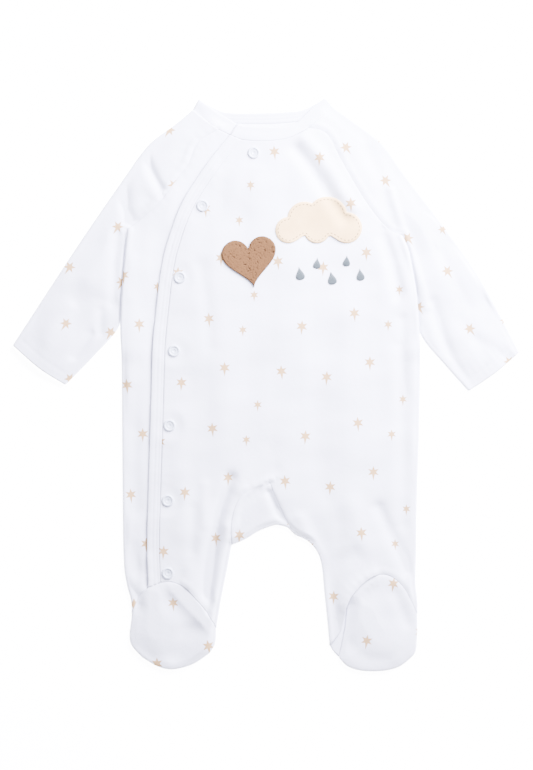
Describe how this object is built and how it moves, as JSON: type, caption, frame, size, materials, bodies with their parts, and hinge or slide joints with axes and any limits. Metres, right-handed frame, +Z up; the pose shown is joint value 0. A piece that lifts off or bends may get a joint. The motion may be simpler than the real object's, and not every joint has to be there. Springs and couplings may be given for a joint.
{
  "type": "footed baby sleepsuit",
  "caption": "Footed baby sleepsuit with long raglan sleeves, a side wrap closed by snaps, star print and a chest applique, laid flat on its back.",
  "frame": {"origin": "middle of the garment's bounding box, on the surface it lies on", "axes": "+X to the viewer's right across the sleeves, +Y from the toes to the neck, +Z up out of the surface, through the front"},
  "size_m": [0.4452, 0.5038, 0.0082],
  "materials": {
    "cotton_jersey": "matt white cotton jersey with a sparse beige star print",
    "rib_band": "matt white knit binding, stitched along its edge",
    "snap_cap": "smooth off-white ring snap cap",
    "cream_patch": "cream brushed cotton with a tan running stitch",
    "terry_patch": "tan looped terry",
    "embroidery": "grey-blue satin stitch thread"
  },
  "bodies": {
    "root": {"back": "cotton_jersey", "front_over": "cotton_jersey", "front_under": "cotton_jersey", "sleeve_left": "cotton_jersey", "sleeve_right": "cotton_jersey", "crotch_gusset": "cotton_jersey", "vamp_left": "cotton_jersey", "vamp_right": "cotton_jersey", "sole_left": "cotton_jersey", "sole_right": "cotton_jersey", "placket_band": "rib_band", "neckband_back": "rib_band", "neckband_left": "rib_band", "neckband_over": "rib_band", "snap_1": "snap_cap", "snap_2": "snap_cap", "snap_3": "snap_cap", "snap_4": "snap_cap", "snap_5": "snap_cap", "snap_6": "snap_cap", "snap_7": "snap_cap", "applique_cloud": "cream_patch", "applique_heart": "terry_patch", "embroidered_drop_1": "embroidery", "embroidered_drop_2": "embroidery", "embroidered_drop_3": "embroidery", "embroidered_drop_4": "embroidery", "embroidered_drop_5": "embroidery"}
  },
  "joints": []
}
